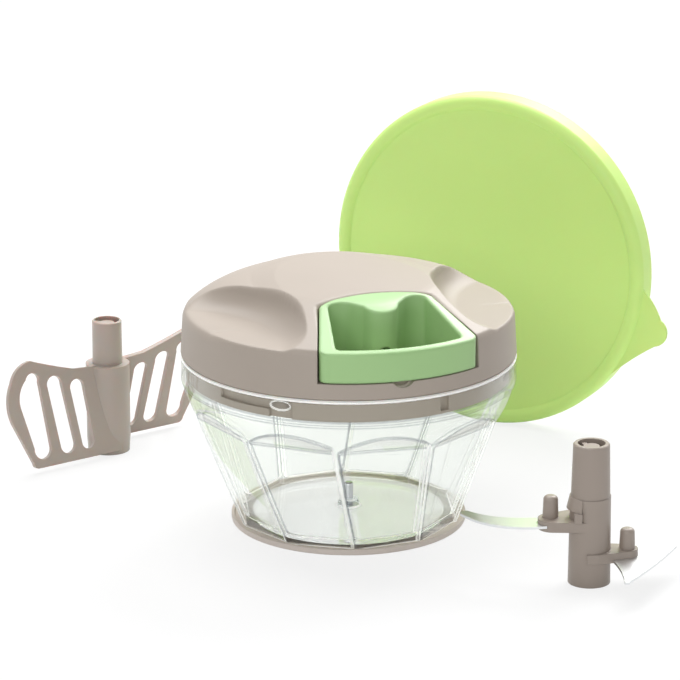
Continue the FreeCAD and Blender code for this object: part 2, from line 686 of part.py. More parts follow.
half = num("spring_strip / 2")
inside = spiral_edges(4.95, num("barrel_bore - 0.6"), num("spring_turns"), -half)
outside = spiral_edges(4.95, num("barrel_bore - 0.6"), num("spring_turns"), half)
first_end = Part.makeLine(inside[0].firstVertex().Point, outside[0].firstVertex().Point)
last_end = Part.makeLine(inside[-1].lastVertex().Point, outside[-1].lastVertex().Point)
strip_wire = Part.Wire(Part.sortEdges(inside + outside + [first_end, last_end])[0])
spring = doc.addObject("Part::Feature", "spring_solid")
spring.Shape = Part.Face(strip_wire).extrude(V(0, 0, num("spring_width")))
nodes["power_spring"] = place(spring, 0, 0, "barrel_base + 0.3")

# Cord reel: ratchet ring below, grooved drum above, arbor for the spring.
reel_profile = turned("reel_profile", [
    ("axle_radius + running_gap", "reel_web"),
    ("tooth_root - 0.2", "reel_web"),
    ("tooth_root - 0.2", "ratchet_base"),
    ("flange_radius", "ratchet_base"),
    ("flange_radius", "groove_low"),
    ("core_radius", "groove_low"),
    ("core_radius", "groove_high"),
    ("flange_radius", "groove_high"),
    ("flange_radius", "reel_top"),
    ("core_radius - 1.8", "reel_top"),
    ("core_radius - 1.8", "groove_low"),
    (4.6, "groove_low"),
    (4.6, "axle_high - 3.1"),
    ("axle_radius + running_gap", "axle_high - 3.1"),
])
teeth_points = []
for index in range(int(num("tooth_count"))):
    tip = num("tooth_turn") + 360.0 / int(num("tooth_count")) * index
    for radius, angle in (("tooth_root", tip - 2), ("tooth_tip", tip)):
        teeth_points.append(("%s * cos(%g)" % (radius, angle), "%s * sin(%g)" % (radius, angle)))
teeth_space = slab("teeth_space", teeth_points, "ratchet_base - 1",
                   "reel_web - ratchet_base + 1")
teeth_blank = rod("teeth_blank", "flange_radius - 0.5", "reel_web - ratchet_base",
                  z="ratchet_base")
teeth = cut("teeth", teeth_blank, teeth_space)
anchor_hole = rod("anchor_hole", "cord_radius + 0.2", 8, "core_radius - 4", 0,
                  "groove_high - 1.2", FreeCAD.Rotation(V(0, 1, 0), 90))
nodes["cord_reel"] = cut("reel_solid", fuse("reel_parts", [reel_profile, teeth]), anchor_hole)

# Cord: wound part on the reel, straight run to the handle and the knot behind the grip.
wind_radius = "(core_radius + cord_radius + 0.05)"
leave_angle = math.degrees(math.acos(num(wind_radius) / num("guide_bend")))
leave_x = num(wind_radius) * math.sin(math.radians(leave_angle))
leave_y = -num(wind_radius) * math.cos(math.radians(leave_angle))


def wound_point(turns):
    """Point of the wound cord after some turns from where it leaves the reel."""
    angle = math.radians(leave_angle - 90) + 2 * math.pi * turns
    radius = num(wind_radius)
    return V(radius * math.cos(angle), radius * math.sin(angle),
             num("cord_height") + num("wind_pitch") * turns)


def wound_heading(turns):
    """Direction of the wound cord after some turns."""
    angle = math.radians(leave_angle - 90) + 2 * math.pi * turns
    along = 2 * math.pi * num(wind_radius)
    heading = V(-along * math.sin(angle), along * math.cos(angle), num("wind_pitch"))
    return heading.normalize()


def bent(a, heading, b):
    """Arc from a point and its heading to a second point."""
    chord = b - a
    along = V(chord).normalize()
    bulge = (heading - along * heading.dot(along)).normalize()
    half_turn = math.acos(heading.dot(along))
    return Part.Arc(a, (a + b) * 0.5 + bulge * (chord.Length / 2 * math.tan(half_turn / 2)), b)


path = []
pieces = int(round(num("wind_turns") * 4))
for index in range(pieces):
    low, high = (num("wind_turns") * step / pieces for step in (index, index + 1))
    a, b = wound_point(low), wound_point(high)
    ta, tb = wound_heading(low), wound_heading(high)
    span, lean = b - a, ta.dot(tb) - 1
    push = span.dot(ta + tb)
    reach = (push - math.sqrt(push ** 2 - 2 * lean * span.dot(span))) / (2 * lean)
    joint = (a + ta * reach + b - tb * reach) * 0.5
    path.append(bent(a, ta, joint).toShape())
    path.append(bent(b, -tb, joint).toShape().reversed())
path_wire = Part.Wire(path)
section = Part.Wire(Part.makeCircle(num("cord_radius"), wound_point(0), wound_heading(0)))
winding = doc.addObject("Part::Feature", "winding_solid")
winding.Shape = path_wire.makePipeShell([section], True, False)
nodes["cord_winding"] = winding
least_gap = num("wind_pitch - 2 * cord_radius")
length = 2 * math.pi * num(wind_radius) * num("wind_turns")
print("winding gap %.2f, radius %.2f, volume %.1f against %.1f" % (
    least_gap, num(wind_radius), winding.Shape.Volume,
    math.pi * num("cord_radius") ** 2 * length))

run_turn = FreeCAD.Rotation(V(0, 0, 1), V(leave_x, leave_y + num("guide_bend"), 0))
slant = math.hypot(leave_x, leave_y + num("guide_bend"))
run_a = rod("run_slanted", "cord_radius", "%g - 0.4" % slant, 0, "-guide_bend", "cord_height",
            run_turn)
run_b = ball("run_bend", "cord_radius", 0, "-guide_bend", "cord_height")
run_c = rod("run_straight", "cord_radius", "grip_bump - 3.6 - guide_bend", 0, "-guide_bend",
            "cord_height", ALONG_MINUS_Y)
nodes["cord_run"] = fuse("run_solid", [run_a, run_b, run_c])
nodes["cord_knot"] = cut("knot_solid",
                         ball("knot_ball", 2.25, 0, "-grip_bump + 2.4", "cord_height"),
                         rod("knot_bore", "cord_radius", 3, 0, "-grip_bump + 5.6",
                             "cord_height", ALONG_MINUS_Y))

# Pull handle: D-shaped grip with two finger lobes, flush with the conical front.
handle_blank = slab("handle_blank", [
    ("-handle_half_front", "-handle_corner"),
    ("handle_half_front", "-handle_corner", 0, "-collar_radius"),
    ("handle_half_back - 0.5", "-handle_back + 1.4"),
    ("-handle_half_back + 0.5", "-handle_back + 1.4", 0, "-handle_rear"),
], "handle_base", 34)
grip = slab("grip_opening", [
    (-25.4, "-grip_front + 5.4"),
    (25.4, "-grip_front + 5.4", 0, "-grip_front"),
    (19.75, -31.9),
    (10.8, -33.3, 15.0, -31.2),
    (7.0, "-grip_bump + 5.2"),
    (-7.0, "-grip_bump + 5.2", 0, "-grip_bump"),
    (-10.8, -33.3),
    (-19.75, -31.9, -15.0, -31.2),
], "handle_base - 2", 40)


def upright(middle, spread):
    """Picks upright edges by their distance from the middle plane."""
    def pick(edge):
        box = edge.BoundBox
        straight = box.XLength < 0.01 and box.YLength < 0.01 and box.ZLength > 5
        return straight and abs(abs(box.XMin) - num(middle)) < spread
    return pick


def on_handle_top(edge):
    """Edges round the handle's top face, without the seams inside it."""
    box = edge.BoundBox
    if box.ZMin < num("front_height") - 3:
        return False
    if box.XLength < 0.01 and box.YLength < 0.01:
        return False
    seam_height = num("front_height") + 6.7
    flat = box.ZLength < 0.02
    return not (flat and math.hypot(box.XMax, box.YMax) < 45 and box.ZMin > seam_height)


blank_soft = rounded("blank_soft", handle_blank, 2.6, upright("handle_half_back", 3))
blank_round = rounded("blank_round", blank_soft, 1.1, upright("handle_half_front", 3))
grip_soft = rounded("grip_soft", grip, 2.2, upright(24.5, 5.5))
grip_round = rounded("grip_round", grip_soft, 3.0, upright(9, 3))
handle_raw = cut("handle_raw", blank_round, above_front("above_handle", "0"), grip_round)
handle_soft = rounded("handle_soft", handle_raw, 0.9, on_handle_top)
cord_hole = rod("cord_hole", "cord_radius + 0.3", 24, 0, -22, "cord_height", ALONG_MINUS_Y)
knot_seat = rod("knot_seat", 2.9, 8, 0, "-grip_bump + 4.7", "cord_height", ALONG_MINUS_Y)
nodes["pull_handle"] = cut("handle_solid", handle_soft, cord_hole, knot_seat)

# Drive coupler: disc with pawl pins, collar in the cover and a slotted drive tube.
coupler_blank = turned("coupler_blank", [
    ("axle_radius + running_gap", "axle_low + 0.1"),
    ("coupler_bore", "axle_low + 0.1"),
    ("coupler_bore", "coupler_low"),
    ("coupler_radius - 0.4", "coupler_low"),
    ("coupler_radius", "coupler_low + 0.8"),
    ("coupler_radius", "plate_base - 2.1"),
    ("coupler_radius + 1.6", "plate_base - 2.1"),
    ("coupler_radius + 1.6", "disc_base"),
    ("flange_radius - 1", "disc_base"),
    ("flange_radius - 1", "disc_base + disc_height"),
    ("axle_radius + running_gap", "disc_base + disc_height"),
])
pins = [rod("pawl_pin_%d" % side, 1.25, 2.9, "%d * 10" % side, 0, "ratchet_base - 0.4")
        for side in (1, -1)]
key_slot = block("key_slot", 6, 2.4, 11.5, 0, -1.2, "coupler_low - 0.5")
nodes["drive_coupler"] = cut("coupler_solid", fuse("coupler_parts", [coupler_blank] + pins),
                             key_slot)

# Pawls: folded at rest, they swing out behind the ratchet teeth.
for side, name in ((1, "pawl_right"), (-1, "pawl_left")):
    arm = slab(name + "_arm", [
        ("%d * 12.4" % side, "%d * 0.6" % side),
        ("%d * 13.4" % side, "%d * 6.0" % side),
        ("%d * 12.3" % side, "%d * 10.4" % side),
        ("%d * 10.9" % side, "%d * 10.7" % side),
        ("%d * 9.4" % side, "%d * 9.0" % side),
        ("%d * 7.7" % side, "%d * 1.0" % side),
    ], "ratchet_base - 0.1", 2.5)
    eye = rod(name + "_eye", 2.5, 2.5, "%d * 10" % side, 0, "ratchet_base - 0.1")
    eye_bore = rod(name + "_bore", 1.31, 4, "%d * 10" % side, 0, "ratchet_base - 1")
    nodes[name] = cut(name + "_solid", fuse(name + "_parts", [arm, eye]), eye_bore)


# Blade unit: hub with two arms, each with a peg above; the blades are moulded in.

def drive_socket(name, top):
    """Space of the drive socket: a ring with a key web across it."""
    ring_space = cut(name + "_ring", rod(name + "_bore", "socket_radius", 14, z=top + " - 12.5"),
                     rod(name + "_post", "coupler_bore - 0.3", 11.5, z=top + " - 12.6"))
    web = block(name + "_web", 6, 2.0, 11.5, 0, -1.0, top + " - 12.6", turn_z(110))
    return cut(name + "_space", ring_space, web)


hub_tubes = turned("hub_tubes", [
    (0, 0),
    ("hub_radius", 0),
    ("hub_radius - 0.35", "hub_step"),
    ("hub_radius - 0.35 - hub_ledge", "hub_step"),
    ("hub_top_radius", "hub_height - 0.5"),
    ("hub_top_radius - 0.5", "hub_height"),
    (0, "hub_height"),
])
hub_sleeve = taper("hub_sleeve", "hub_radius + 0.9", "hub_radius - 0.2", 4.8,
                   z="hub_step - 4.8", turn=turn_z(95), angle=150)
upper_arm = slab("upper_arm", [
    (0, -7.8),
    (0, 8.2),
    (-8.0, 7.6),
    (-14.2, 4.2),
    (-14.0, -7.4, -19.9, -1.5),
], "upper_blade_base - 1.4", 3.9)
lower_arm = slab("lower_arm", [
    (-1.5, -8.6),
    (3.0, -8.4),
    (14.2, -4.4),
    (14.2, 4.0, 18.4, -0.2),
    (0, 6.0),
], "lower_blade_base - 0.2", 3.9)
nub = block("arm_nub", 3.0, 2.6, 3.9, -6.4, -8.2, "upper_blade_base + 2.3")


def peg(name, height, x, base):
    """Tapered peg with a rounded tip on an arm."""
    thing = turned(name, [
        (0, -0.5),
        (3.05, -0.5),
        (2.8, height - 1.8),
        (1.1, height, 2.3, height - 0.45),
        (0, height),
    ])
    return place(thing, x, 0, base)


pegs = [peg("upper_peg", 8.5, -15.0, "upper_blade_base + 2.5"),
        peg("lower_peg", 8.0, 14.2, "lower_blade_base + 3.7")]


def upper_outline(name):
    """Upper blade in plan, its root hidden in the arm."""
    tip = "blade_reach"
    return slab(name, [
        (-3.0, -5.2),
        (-14.0, -6.4),
        (-20.0, -7.4),
        ("-%s + 2.7" % tip, 3.4, -33.0, -6.5),
        ("-" + tip, 7.2),
        ("-%s + 2.6" % tip, 10.8, "-%s + 0.2" % tip, 9.6),
        (-28.0, 2.6, -37.6, 4.9),
        (-20.0, 2.8),
        (-3.0, 4.6),
    ], "upper_blade_base", "blade_gauge")


def lower_outline(name):
    """Lower blade in plan: a sickle with its point toward the front."""
    return slab(name, [
        (2.0, -4.0),
        (8.0, -4.4),
        (11.3, -28.8, 10.6, -16.0),
        (13.3, -29.0, 12.2, -30.2),
        (33.6, 9.4, 24.2, -10.2),
        (32.4, 10.6, 33.7, 10.5),
        (16.0, 8.4, 24.6, 12.0),
        (7.0, 4.4, 11.0, 5.9),
        (2.0, 4.0),
    ], "lower_blade_base", "blade_gauge")


hub_parts = fuse("hub_parts", [hub_tubes, hub_sleeve, upper_arm, lower_arm, nub] + pegs)
pin_socket = fuse("hub_pin_socket", [
    rod("hub_pin_bore", "pin_radius + 0.1", 11, z=-1),
    taper("hub_pin_lead", 2.9, 1.9, 1.2, z=-0.2)])
hub = cut("hub_solid", hub_parts, pin_socket, drive_socket("hub_socket", "hub_height"),
          upper_outline("upper_bed"), lower_outline("lower_bed"))
upper_blade = upper_outline("upper_blade_solid")
lower_blade = lower_outline("lower_blade_solid")
for name, thing in (("blade_hub", hub), ("upper_blade", upper_blade),
                    ("lower_blade", lower_blade)):
    nodes[name] = place(thing, "blade_x", "blade_y", 0, turn_z(num("blade_turn")))

# Whipping paddle: hub and two tilted wings with three slots each.
paddle_tubes = turned("paddle_tubes", [
    (0, 0),
    ("paddle_radius - 0.4", 0),
    ("paddle_radius", 6),
    ("paddle_radius", "paddle_step"),
    ("paddle_top_radius", "paddle_step"),
    ("paddle_top_radius - 0.1", "paddle_height - 0.4"),
    ("paddle_top_radius - 0.5", "paddle_height"),
    (0, "paddle_height"),
])
wing_solids = []
for side in ("right", "left"):
    plate = outline(side + "_wing_outline", [
        (0, 1.0),
        (40.0, 1.0),
        (42.4, 3.2, 41.7, 1.6),
        ("wing_reach - 1", 21.0),
        ("wing_reach - 2.7", 37.8, "wing_reach", 29.8),
        (38.3, 45.6, 44.6, 43.0),
        (18.0, 38.8, 28.0, 41.9),
        (0, 37.4),
    ], "XZ")
    slot_shapes = [
        [(35.2, 36.1), (41.4, 38.1, 37.6, 40.4), (45.3, 27.0, 44.9, 33.0), (41.4, 9.4),
         (33.3, 8.3, 37.6, 4.5)],
        [(24.6, 33.6), (31.6, 33.2, 28.3, 37.6), (28.9, 8.2), (21.7, 8.4, 25.2, 4.6)],
        [(14.2, 30.8), (20.9, 30.6, 17.6, 34.4), (18.5, 8.0), (12.5, 8.2, 15.4, 4.7)],
    ]
    thing = doc.addObject("Part::Extrusion", side + "_wing_plate")
    thing.Base = plate
    thing.DirMode = "Normal"
    thing.Solid = True
    thing.Symmetric = True
    bind(thing, LengthFwd="wing_gauge")
    holes = []
    for number, points in enumerate(slot_shapes):
        hole = doc.addObject("Part::Extrusion", "%s_slot_%d" % (side, number))
        hole.Base = outline("%s_slot_outline_%d" % (side, number), points, "XZ")
        hole.DirMode = "Normal"
        hole.Solid = True
        hole.Symmetric = True
        bind(hole, LengthFwd="wing_gauge + 4")
        holes.append(hole)
    wing = cut(side + "_wing", thing, *holes)
    spin = turn_z(0 if side == "right" else 180)
    lean = FreeCAD.Rotation(V(1, 0, 0), num("wing_tilt"))
    pivot = V(0, 0, 45.0)
    wing.Placement = FreeCAD.Placement(pivot - spin.multVec(lean.multVec(pivot)), spin * lean)
    wing_solids.append(wing)
table_cut = block("table_cut", 160, 160, 20, -80, -80, -20)
paddle_parts = cut("paddle_parts", fuse("paddle_joined", [paddle_tubes] + wing_solids),
                   table_cut)
paddle_pin = fuse("paddle_pin_socket", [
    rod("paddle_pin_bore", "pin_radius + 0.1", 11, z=-1),
    taper("paddle_pin_lead", 2.9, 1.9, 1.2, z=-0.2)])
paddle = cut("paddle_solid", paddle_parts, paddle_pin, drive_socket("paddle_socket",
                                                                  "paddle_height"))
nodes["paddle"] = place(paddle, "paddle_x", "paddle_y", 0, turn_z(num("paddle_turn")))

# Storage lid: soft panel with a raised bead, double skirt and pull tab, standing on its edge.
cover_shell = turned("cover_shell", [
    (0, "-cover_gauge"),
    ("cover_fit", "-cover_gauge"),
    ("cover_fit", "-cover_depth + 3"),
    ("cover_fit - 0.4", "-cover_depth + 2"),
    ("cover_fit", "-cover_depth + 1"),
    ("cover_fit + 1.7", "-cover_depth + 1"),
    ("cover_fit + 1.7", -1.4),
    ("cover_radius - 1.6", -1.4),
    ("cover_radius - 1.6", "-cover_depth"),
    ("cover_radius", "-cover_depth"),
    ("cover_radius", -0.8),
    ("cover_face", 0, "cover_radius - 2.6", 1.6),
    (0, 0),
])
tab = slab("cover_tab", [
    ("cover_radius - 11.4", -15.0),
    ("cover_radius - 0.8", -2.6),
    ("cover_radius + 8.0", -15.6, "cover_radius + 4.2", -8.4),
    ("cover_radius + 5.8", -27.0, "cover_radius + 10.8", -22.4),
    ("cover_radius - 13.4", -41.6, "cover_radius - 3.8", -33.6),
], -1.4, 1.2)
cover = fuse("storage_solid", [cover_shell, tab])
nodes["storage_lid"] = place(cover, "cover_x", "cover_y", "cover_radius",
                             turn_z(num("cover_turn")) * FreeCAD.Rotation(V(1, 0, 0), 90))

doc.recompute()
os.makedirs("parts", exist_ok=True)
for name, thing in nodes.items():
    thing.Label = name
    shape = thing.Shape
    if shape.isNull():
        print("PROBLEM %s is empty" % name)
        continue
    if "Invalid" in thing.State or not shape.isValid():
        print("PROBLEM %s state %s valid %s" % (name, thing.State, shape.isValid()))
    if len(shape.Solids) != (len(screws) if name == "cover_screws" else 1):
        print("PROBLEM %s has %d solids" % (name, len(shape.Solids)))
    shape.exportStep("parts/%s.step" % name)
    box = shape.BoundBox
    print("%-18s volume %9.1f  x %.1f %.1f  y %.1f %.1f  z %.1f %.1f" % (
        name, shape.Volume, box.XMin, box.XMax, box.YMin, box.YMax, box.ZMin, box.ZMax))
for thing in doc.Objects:
    if "Invalid" in thing.State:
        print("PROBLEM object %s %s" % (thing.Name, thing.State))
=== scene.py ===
import json
import math

import bpy
import numpy as np
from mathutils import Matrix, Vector

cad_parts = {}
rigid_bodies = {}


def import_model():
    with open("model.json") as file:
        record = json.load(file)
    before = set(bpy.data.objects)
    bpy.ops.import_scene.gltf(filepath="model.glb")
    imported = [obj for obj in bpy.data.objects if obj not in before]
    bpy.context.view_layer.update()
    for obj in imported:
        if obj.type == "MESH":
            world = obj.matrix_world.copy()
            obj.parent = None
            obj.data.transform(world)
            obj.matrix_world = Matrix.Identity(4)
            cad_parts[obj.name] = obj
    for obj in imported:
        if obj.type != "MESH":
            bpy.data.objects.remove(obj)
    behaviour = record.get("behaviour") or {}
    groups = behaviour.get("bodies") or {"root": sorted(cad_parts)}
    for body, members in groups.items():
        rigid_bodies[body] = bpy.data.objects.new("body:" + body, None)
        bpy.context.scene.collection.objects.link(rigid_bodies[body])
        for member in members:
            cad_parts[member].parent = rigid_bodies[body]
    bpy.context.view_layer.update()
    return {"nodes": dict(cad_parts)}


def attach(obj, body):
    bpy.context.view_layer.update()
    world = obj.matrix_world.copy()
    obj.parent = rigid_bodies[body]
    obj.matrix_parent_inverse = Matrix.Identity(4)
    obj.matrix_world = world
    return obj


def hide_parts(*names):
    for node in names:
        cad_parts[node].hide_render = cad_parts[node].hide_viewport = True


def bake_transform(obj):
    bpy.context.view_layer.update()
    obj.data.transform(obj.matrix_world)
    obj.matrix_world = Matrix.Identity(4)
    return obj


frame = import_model()

# Camera. The view is 18 degrees above the table from the front left, through a long lens,
# aimed so that the chopper stands a little below the middle of a 680 px picture.

PICTURE = 680
VIEW_TURN = math.radians(-19.5)
VIEW_RISE = math.radians(18.15)
VIEW_DISTANCE = 1.5
FOCAL_PX = 3795
AIMED_POINT = Vector((0, 0, 0.040))
AIMED_PX = (348.65, 420.0)

toward = Vector((-math.sin(VIEW_TURN) * math.cos(VIEW_RISE),
                 math.cos(VIEW_TURN) * math.cos(VIEW_RISE), -math.sin(VIEW_RISE)))
rightward = toward.cross(Vector((0, 0, 1))).normalized()
upward = rightward.cross(toward)
axis = (toward * FOCAL_PX - rightward * (AIMED_PX[0] - PICTURE / 2)
        + upward * (AIMED_PX[1] - PICTURE / 2)).normalized()

bpy.ops.object.camera_add(location=AIMED_POINT - toward * VIEW_DISTANCE)
camera = bpy.context.object
camera.name = "camera"
camera.rotation_euler = axis.to_track_quat("-Z", "Y").to_euler()
camera.data.lens = camera.data.sensor_width * FOCAL_PX / PICTURE
camera.data.clip_start = 0.1
camera.data.clip_end = 30
bpy.context.scene.camera = camera
bpy.context.scene.view_settings.view_transform = "Standard"

# Floor: a matte white table top that runs on to the horizon. It looks white from the camera
# and in reflections, and keeps a faint shadow.

FLOOR_SIZE = 16
FLOOR_LEVEL = -0.0002
FLOOR_GLOW = 0.80


def linear(colour):
    """Linear values of an sRGB hex colour, and full cover."""
    parts = [int(colour[i:i + 2], 16) / 255 for i in (0, 2, 4)]
    return [c / 12.92 if c <= 0.04045 else ((c + 0.055) / 1.055) ** 2.4 for c in parts] + [1.0]


def node(tree, kind, inputs=None, **settings):
    """A node with its settings; an input is a value or another node's output."""
    made = tree.nodes.new(kind)
    for name, value in settings.items():
        setattr(made, name, value)
    for name, value in (inputs or {}).items():
        if isinstance(value, bpy.types.NodeSocket):
            tree.links.new(value, made.inputs[name])
        else:
            made.inputs[name].default_value = value
    return made


def fresh(name):
    """A new material, its tree without nodes, and its output node."""
    material = bpy.data.materials.new(name)
    material.use_nodes = True
    tree = material.node_tree
    tree.nodes.clear()
    return material, tree, node(tree, "ShaderNodeOutputMaterial")


bpy.ops.object.select_all(action="DESELECT")
bpy.ops.mesh.primitive_plane_add(size=FLOOR_SIZE, location=(0, 0, FLOOR_LEVEL))
floor = bpy.context.object
floor.name = "floor"
table_white, tree, output = fresh("white table")
path = node(tree, "ShaderNodeLightPath")
seen = node(tree, "ShaderNodeMath", {0: path.outputs["Is Camera Ray"],
                                     1: path.outputs["Is Glossy Ray"]}, operation="MAXIMUM")
seen = node(tree, "ShaderNodeMath", {0: seen.outputs[0],
                                     1: path.outputs["Is Transmission Ray"]},
            operation="MAXIMUM")
matte = node(tree, "ShaderNodeBsdfDiffuse", {"Color": linear("EDEDED")})
glow = node(tree, "ShaderNodeEmission", {"Color": linear("FFFFFF"), "Strength": 1.0})
share = node(tree, "ShaderNodeMath", {0: seen.outputs[0], 1: FLOOR_GLOW},
             operation="MULTIPLY")
mixed = node(tree, "ShaderNodeMixShader", {0: share.outputs[0], 1: matte.outputs[0],
                                           2: glow.outputs[0]})
tree.links.new(mixed.outputs[0], output.inputs["Surface"])
floor.data.materials.append(table_white)

# Surroundings: a white room. The camera, glass and reflections see it white, and it lights
# dull faces more softly, so that the lamps still shape them.

world = bpy.data.worlds.new("studio")
bpy.context.scene.world = world
world.use_nodes = True
tree = world.node_tree
tree.nodes.clear()
path = node(tree, "ShaderNodeLightPath")
seen = node(tree, "ShaderNodeMath", {0: path.outputs["Is Camera Ray"],
                                     1: path.outputs["Is Transmission Ray"]},
            operation="MAXIMUM")
white = node(tree, "ShaderNodeBackground", {"Color": linear("FFFFFF"), "Strength": 1.0})
soft = node(tree, "ShaderNodeBackground", {"Color": linear("F6F7F8"), "Strength": 0.40})
mirror = node(tree, "ShaderNodeBackground", {"Color": linear("FBFBFB"), "Strength": 1.0})
mixed = node(tree, "ShaderNodeMixShader", {0: path.outputs["Is Glossy Ray"],
                                           1: soft.outputs[0], 2: mirror.outputs[0]})
mixed = node(tree, "ShaderNodeMixShader", {0: seen.outputs[0], 1: mixed.outputs[0],
                                           2: white.outputs[0]})
node(tree, "ShaderNodeOutputWorld", {"Surface": mixed.outputs[0]})

# Lamps: a large softbox overhead and a little behind, a key light high at the back right,
# whose shadow falls on the right half of the left dish, and a weaker lamp at the front left.


def softbox(name, place, target, size, power):
    """Rectangular lamp at a place, turned toward a target."""
    bpy.ops.object.light_add(type="AREA", location=place)
    lamp = bpy.context.object
    lamp.name = name
    lamp.data.shape = "RECTANGLE"
    lamp.data.size = size[0]
    lamp.data.size_y = size[1]
    lamp.data.energy = power
    lamp.rotation_euler = (Vector(target) - Vector(place)).to_track_quat("-Z", "Y").to_euler()


softbox("top_light", (-0.1, 0.45, 1.2), (0, 0, 0.05), (0.8, 0.8), 12.5)
softbox("key_light", (0.70, 0.62, 0.90), (0, 0, 0.08), (0.6, 0.6), 12.5)
softbox("front_left_light", (-0.75, -1.1, 0.6), (0, 0, 0.06), (0.9, 0.6), 5.4)

# Bowl: clear injection moulded SAN with fluted, polished walls. Light passes nearly untouched
# where a wall is seen square on, and slanting walls mirror and bend it. Every moulded edge
# carries a painted highlight, a white matte line, between two thin painted grey reflections.

RIPPLE_MM = 22
BOWL_EDGE = 0.0013


def dress(name, material):
    """Give a frame node its finish."""
    thing = frame["nodes"][name]
    thing.data.materials.clear()
    thing.data.materials.append(material)


clear, tree, output = fresh("clear SAN")
where = node(tree, "ShaderNodeTexCoord")
ripple = node(tree, "ShaderNodeTexNoise", {"Vector": where.outputs["Object"],
                                           "Scale": 1000 / RIPPLE_MM, "Detail": 1.0})
flow = node(tree, "ShaderNodeBump", {"Height": ripple.outputs["Fac"], "Strength": 0.2,
                                     "Distance": 0.0002})
glassy = node(tree, "ShaderNodeBsdfPrincipled", {
    "Base Color": linear("FFFFFF"), "Roughness": 0.02, "IOR": 1.45,
    "Transmission Weight": 1.0, "Normal": flow.outputs["Normal"]})
through = node(tree, "ShaderNodeBsdfTransparent", {"Color": linear("FDFEFD")})
slant = node(tree, "ShaderNodeLayerWeight", {"Blend": 0.3})
share = node(tree, "ShaderNodeMapRange", {"Value": slant.outputs["Facing"],
                                          "From Min": 0.25, "From Max": 0.55,
                                          "To Min": 0.04, "To Max": 0.90})
plane = node(tree, "ShaderNodeNewGeometry")
axes = node(tree, "ShaderNodeSeparateXYZ", {0: plane.outputs["True Normal"]})
level = node(tree, "ShaderNodeMath", {0: axes.outputs["Z"]}, operation="ABSOLUTE")
floor_part = node(tree, "ShaderNodeMapRange", {"Value": level.outputs[0], "From Min": 0.7,
                                               "From Max": 0.95, "To Min": 0.40})
share = node(tree, "ShaderNodeMath", {0: share.outputs[0], 1: floor_part.outputs[0]},
             operation="MULTIPLY")
mixed = node(tree, "ShaderNodeMixShader", {0: share.outputs[0], 1: through.outputs[0],
                                           2: glassy.outputs[0]})
rounded = node(tree, "ShaderNodeBevel", {"Radius": BOWL_EDGE}, samples=8)
turned = node(tree, "ShaderNodeVectorMath", {0: rounded.outputs[0],
                                             1: plane.outputs["True Normal"]},
              operation="DOT_PRODUCT")
# Painted reflection: a grey filter on the narrow band beside each edge darkens what shows
# through, in place of dark surroundings mirrored and bent there.
shade = node(tree, "ShaderNodeMapRange", {"Value": turned.outputs["Value"],
                                          "From Min": 0.9997, "From Max": 0.995})
painted_grey_reflection = node(tree, "ShaderNodeBsdfTransparent", {"Color": linear("A8ADB2")})
mixed = node(tree, "ShaderNodeMixShader", {0: shade.outputs[0], 1: mixed.outputs[0],
                                           2: painted_grey_reflection.outputs[0]})
# Painted highlight: on the sharper part of each edge a white matte layer, lit by the lamps,
# shows as a bright line.
edge = node(tree, "ShaderNodeMapRange", {"Value": turned.outputs["Value"],
                                         "From Min": 0.992, "From Max": 0.968,
                                         "To Max": 0.8})
lit_before = node(tree, "ShaderNodeBsdfDiffuse", {"Color": linear("FFFFFF")})
lit_behind = node(tree, "ShaderNodeBsdfTranslucent", {"Color": linear("FFFFFF")})
painted_white_highlight = node(tree, "ShaderNodeAddShader", {0: lit_before.outputs[0],
                                                1: lit_behind.outputs[0]})
mixed = node(tree, "ShaderNodeMixShader", {0: edge.outputs[0], 1: mixed.outputs[0],
                                           2: painted_white_highlight.outputs[0]})
path = node(tree, "ShaderNodeLightPath")
mixed = node(tree, "ShaderNodeMixShader", {0: path.outputs["Is Shadow Ray"],
                                           1: mixed.outputs[0], 2: through.outputs[0]})
tree.links.new(mixed.outputs[0], output.inputs["Surface"])
dress("bowl", clear)

# Foot ring: soft taupe elastomer, matte, fitted under and round the bowl's foot against
# slipping. It shows as a thin band, so a copy of the node is cut off low above the table, and
# the clear foot stands over it.

BAND_HEIGHT = 0.0024


